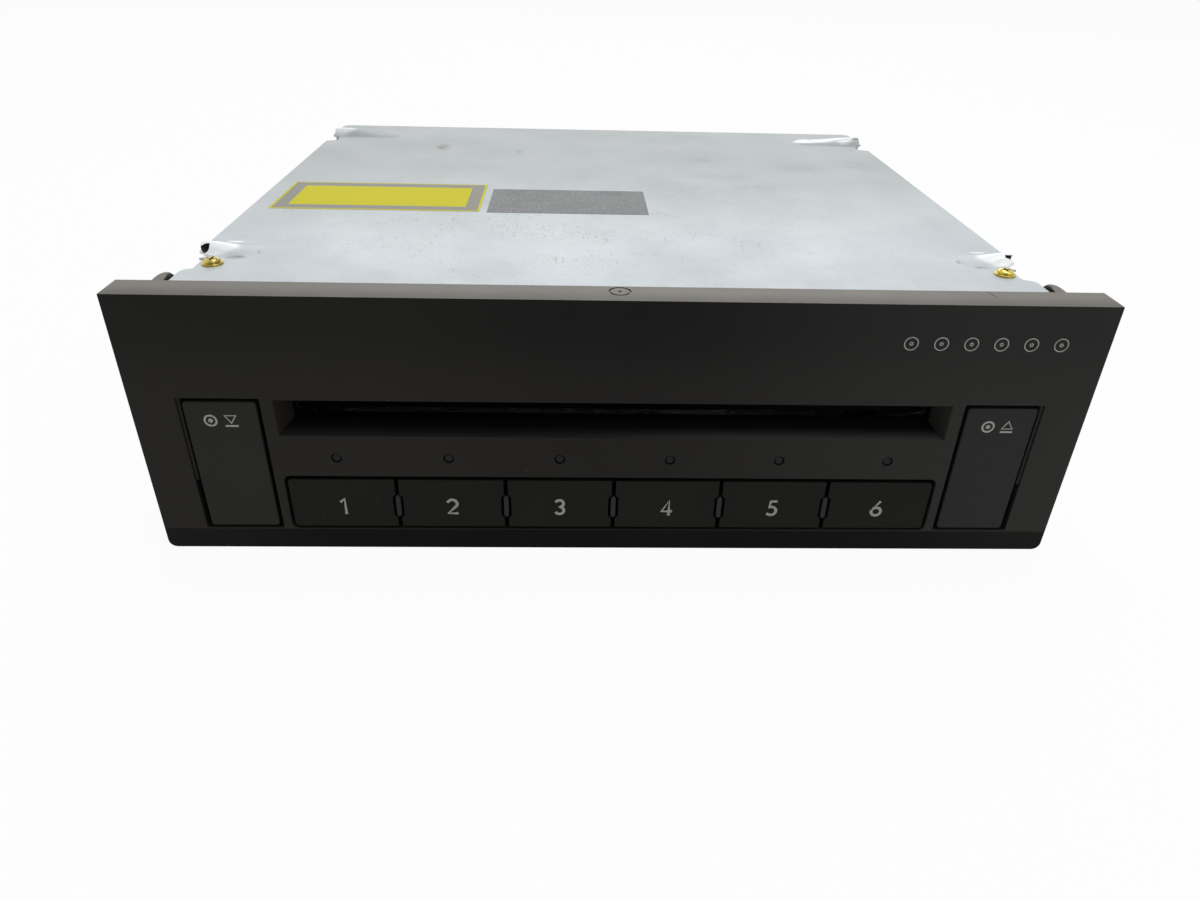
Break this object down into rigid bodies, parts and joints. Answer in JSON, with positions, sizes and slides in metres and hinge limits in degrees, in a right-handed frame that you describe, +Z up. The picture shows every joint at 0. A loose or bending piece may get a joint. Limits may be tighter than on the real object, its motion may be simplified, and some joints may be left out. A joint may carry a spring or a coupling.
{
  "type": "car disc changer",
  "caption": "Slot-loading car disc changer: black front panel with disc keys over a flat sheet-metal housing that holds a disc tray stack, a swing arm with pickup and a feed roller.",
  "frame": {"origin": "centre of the bounding box at the underside of the front panel", "axes": "+X to the right across the front panel as seen from the front, +Y from the panel's face towards the rear wall, +Z up"},
  "size_m": [0.188, 0.1718, 0.0566],
  "materials": {
    "panel_plastic": "moulded black plastic with a fine satin grain",
    "key_plastic": "satin black key plastic",
    "frame_plastic": "plain dark grey plastic",
    "light_plastic": "clear light-guide plastic, unlit",
    "silicone": "grey silicone",
    "circuit_board": "green solder mask",
    "galvanised_sheet": "galvanised steel sheet, light grey",
    "yellow_zinc": "yellow zinc-plated steel screws",
    "steel": "bright steel",
    "natural_plastic": "natural white gear plastic",
    "black_rubber": "black rubber",
    "motor_can": "plated steel motor can",
    "clear_lens": "clear lens"
  },
  "bodies": {
    "housing": {"front_panel": "panel_plastic", "key_guide": "frame_plastic", "light_guide": "light_plastic", "switch_mat": "silicone", "front_circuit_board": "circuit_board", "chassis_tub": "galvanised_sheet", "top_cover": "galvanised_sheet", "cover_screw_left": "yellow_zinc", "cover_screw_right": "yellow_zinc", "main_circuit_board": "circuit_board", "rear_connector": "frame_plastic", "ribbon_cable": "silicone", "mechanism_frame": "galvanised_sheet", "damper_front_left": "black_rubber", "damper_front_right": "black_rubber", "damper_rear_left": "black_rubber", "damper_rear_right": "black_rubber", "elevator_belt": "black_rubber", "elevator_motor": "motor_can", "feed_motor": "motor_can", "disc_guide_plate": "natural_plastic", "arm_pivot_post": "steel"},
    "load_key_body": {"load_key": "key_plastic"},
    "eject_key_body": {"eject_key": "key_plastic"},
    "disc_key_1_body": {"disc_key_1": "key_plastic"},
    "disc_key_2_body": {"disc_key_2": "key_plastic"},
    "disc_key_3_body": {"disc_key_3": "key_plastic"},
    "disc_key_4_body": {"disc_key_4": "key_plastic"},
    "disc_key_5_body": {"disc_key_5": "key_plastic"},
    "disc_key_6_body": {"disc_key_6": "key_plastic"},
    "flap": {"slot_flap": "frame_plastic"},
    "feed_roller": {"feed_roller_shaft": "steel", "feed_roller_rubber_left": "black_rubber", "feed_roller_rubber_right": "black_rubber", "feed_roller_gear": "natural_plastic"},
    "feed_pinion_body": {"feed_pinion": "natural_plastic"},
    "lead_front_left": {"lead_screw_front_left": "steel", "elevator_gear": "natural_plastic"},
    "lead_front_right": {"lead_screw_front_right": "steel"},
    "lead_rear": {"lead_screw_rear": "steel"},
    "elevator_pinion_body": {"elevator_pinion": "natural_plastic"},
    "tray_1": {"disc_tray_1": "natural_plastic"},
    "tray_2": {"disc_tray_2": "natural_plastic"},
    "tray_3": {"disc_tray_3": "natural_plastic"},
    "tray_4": {"disc_tray_4": "natural_plastic"},
    "tray_5": {"disc_tray_5": "natural_plastic"},
    "tray_6": {"disc_tray_6": "natural_plastic"},
    "arm": {"swing_arm": "galvanised_sheet", "clamp_hinge_pin": "steel", "spindle_motor": "motor_can", "sled_guide_rod": "steel", "sled_motor": "motor_can"},
    "turntable_body": {"turntable": "natural_plastic"},
    "sled_screw_body": {"sled_screw": "steel"},
    "sled": {"pickup_sled": "frame_plastic"},
    "lens": {"pickup_lens": "clear_lens"},
    "clamp": {"clamp_arm": "galvanised_sheet"},
    "puck": {"clamp_puck": "natural_plastic"}
  },
  "joints": [
    {"name": "load_key_press", "type": "slide", "parent": "housing", "child": "load_key_body", "axis": [0, 1, 0], "range_m": [0, 0.0008], "stiffness_N_per_m": 300, "springref_m": -0.001},
    {"name": "eject_key_press", "type": "slide", "parent": "housing", "child": "eject_key_body", "axis": [0, 1, 0], "range_m": [0, 0.0008], "stiffness_N_per_m": 300, "springref_m": -0.001},
    {"name": "disc_key_1_press", "type": "slide", "parent": "housing", "child": "disc_key_1_body", "axis": [0, 1, 0], "range_m": [0, 0.0008], "stiffness_N_per_m": 300, "springref_m": -0.001},
    {"name": "disc_key_2_press", "type": "slide", "parent": "housing", "child": "disc_key_2_body", "axis": [0, 1, 0], "range_m": [0, 0.0008], "stiffness_N_per_m": 300, "springref_m": -0.001},
    {"name": "disc_key_3_press", "type": "slide", "parent": "housing", "child": "disc_key_3_body", "axis": [0, 1, 0], "range_m": [0, 0.0008], "stiffness_N_per_m": 300, "springref_m": -0.001},
    {"name": "disc_key_4_press", "type": "slide", "parent": "housing", "child": "disc_key_4_body", "axis": [0, 1, 0], "range_m": [0, 0.0008], "stiffness_N_per_m": 300, "springref_m": -0.001},
    {"name": "disc_key_5_press", "type": "slide", "parent": "housing", "child": "disc_key_5_body", "axis": [0, 1, 0], "range_m": [0, 0.0008], "stiffness_N_per_m": 300, "springref_m": -0.001},
    {"name": "disc_key_6_press", "type": "slide", "parent": "housing", "child": "disc_key_6_body", "axis": [0, 1, 0], "range_m": [0, 0.0008], "stiffness_N_per_m": 300, "springref_m": -0.001},
    {"name": "flap_hinge", "type": "hinge", "parent": "housing", "child": "flap", "pos_m": [0, -0.0779, 0.0378], "axis": [1, 0, 0], "range_deg": [0, 75], "stiffness_Nm_per_rad": 0.0001, "springref_deg": -17.19},
    {"name": "feed_roller_spin", "type": "hinge", "parent": "housing", "child": "feed_roller", "pos_m": [0, -0.0644, 0.0266], "axis": [1, 0, 0], "continuous": true},
    {"name": "feed_pinion_spin", "type": "hinge", "parent": "housing", "child": "feed_pinion_body", "pos_m": [0.079, -0.0644, 0.0154], "axis": [1, 0, 0], "continuous": true},
    {"name": "lead_front_left_turn", "type": "hinge", "parent": "housing", "child": "lead_front_left", "pos_m": [-0.068, -0.0514, 0.0086], "axis": [0, 0, 1], "range_deg": [0, 540]},
    {"name": "lead_front_right_turn", "type": "hinge", "parent": "housing", "child": "lead_front_right", "pos_m": [0.068, -0.0514, 0.0086], "axis": [0, 0, 1], "range_deg": [0, 540]},
    {"name": "lead_rear_turn", "type": "hinge", "parent": "housing", "child": "lead_rear", "pos_m": [-0.02, 0.0656, 0.0086], "axis": [0, 0, 1], "range_deg": [0, 540]},
    {"name": "elevator_pinion_turn", "type": "hinge", "parent": "housing", "child": "elevator_pinion_body", "pos_m": [-0.07909, -0.045, 0.0049], "axis": [0, 0, 1], "range_deg": [-1620, 0]},
    {"name": "tray_1_lift", "type": "slide", "parent": "housing", "child": "tray_1", "axis": [0, 0, 1], "range_m": [0, 0.01151]},
    {"name": "tray_2_lift", "type": "slide", "parent": "housing", "child": "tray_2", "axis": [0, 0, 1], "range_m": [0, 0.01201]},
    {"name": "tray_3_lift", "type": "slide", "parent": "housing", "child": "tray_3", "axis": [0, 0, 1], "range_m": [0, 0.01251]},
    {"name": "tray_4_lift", "type": "slide", "parent": "housing", "child": "tray_4", "axis": [0, 0, 1], "range_m": [-0.01001, 0]},
    {"name": "tray_5_lift", "type": "slide", "parent": "housing", "child": "tray_5", "axis": [0, 0, 1], "range_m": [-0.00951, 0]},
    {"name": "tray_6_lift", "type": "slide", "parent": "housing", "child": "tray_6", "axis": [0, 0, 1], "range_m": [-0.00901, 0]},
    {"name": "arm_swing", "type": "hinge", "parent": "housing", "child": "arm", "pos_m": [0.072, 0.0561, 0.015], "axis": [0, 0, 1], "range_deg": [-54.4, 0]},
    {"name": "turntable_spin", "type": "hinge", "parent": "arm", "child": "turntable_body", "pos_m": [0.072, -0.0324, 0.0243], "axis": [0, 0, 1], "continuous": true},
    {"name": "sled_travel", "type": "slide", "parent": "arm", "child": "sled", "axis": [0, 1, 0], "range_m": [0, 0.03]},
    {"name": "sled_screw_turn", "type": "hinge", "parent": "arm", "child": "sled_screw_body", "pos_m": [0.0792, -0.0174, 0.0205], "axis": [0, 1, 0], "range_deg": [0, 1801]},
    {"name": "lens_focus", "type": "slide", "parent": "sled", "child": "lens", "axis": [0, 0, 1], "range_m": [-0.0004, 0.0004], "stiffness_N_per_m": 30},
    {"name": "clamp_hinge", "type": "hinge", "parent": "arm", "child": "clamp", "pos_m": [0.072, 0.0441, 0.0446], "axis": [1, 0, 0], "range_deg": [0, 8]},
    {"name": "clamp_puck_spin", "type": "hinge", "parent": "clamp", "child": "puck", "pos_m": [0.072, -0.0324, 0.0432], "axis": [0, 0, 1], "continuous": true}
  ],
  "couplings": [
    {"joint": "feed_pinion_spin", "follows": "feed_roller_spin", "ratio": -2.5},
    {"joint": "lead_front_right_turn", "follows": "lead_front_left_turn", "ratio": 1},
    {"joint": "lead_rear_turn", "follows": "lead_front_left_turn", "ratio": 1},
    {"joint": "elevator_pinion_turn", "follows": "lead_front_left_turn", "ratio": -3},
    {"joint": "tray_1_lift", "follows": "lead_front_left_turn", "m_per_rad": 0.0012202},
    {"joint": "tray_2_lift", "follows": "lead_front_left_turn", "m_per_rad": 0.0012732},
    {"joint": "tray_3_lift", "follows": "lead_front_left_turn", "m_per_rad": 0.0013263},
    {"joint": "tray_4_lift", "follows": "lead_front_left_turn", "m_per_rad": -0.001061},
    {"joint": "tray_5_lift", "follows": "lead_front_left_turn", "m_per_rad": -0.001008},
    {"joint": "tray_6_lift", "follows": "lead_front_left_turn", "m_per_rad": -0.00095493},
    {"joint": "sled_screw_turn", "follows": "sled_travel", "rad_per_m": 1047.2}
  ]
}
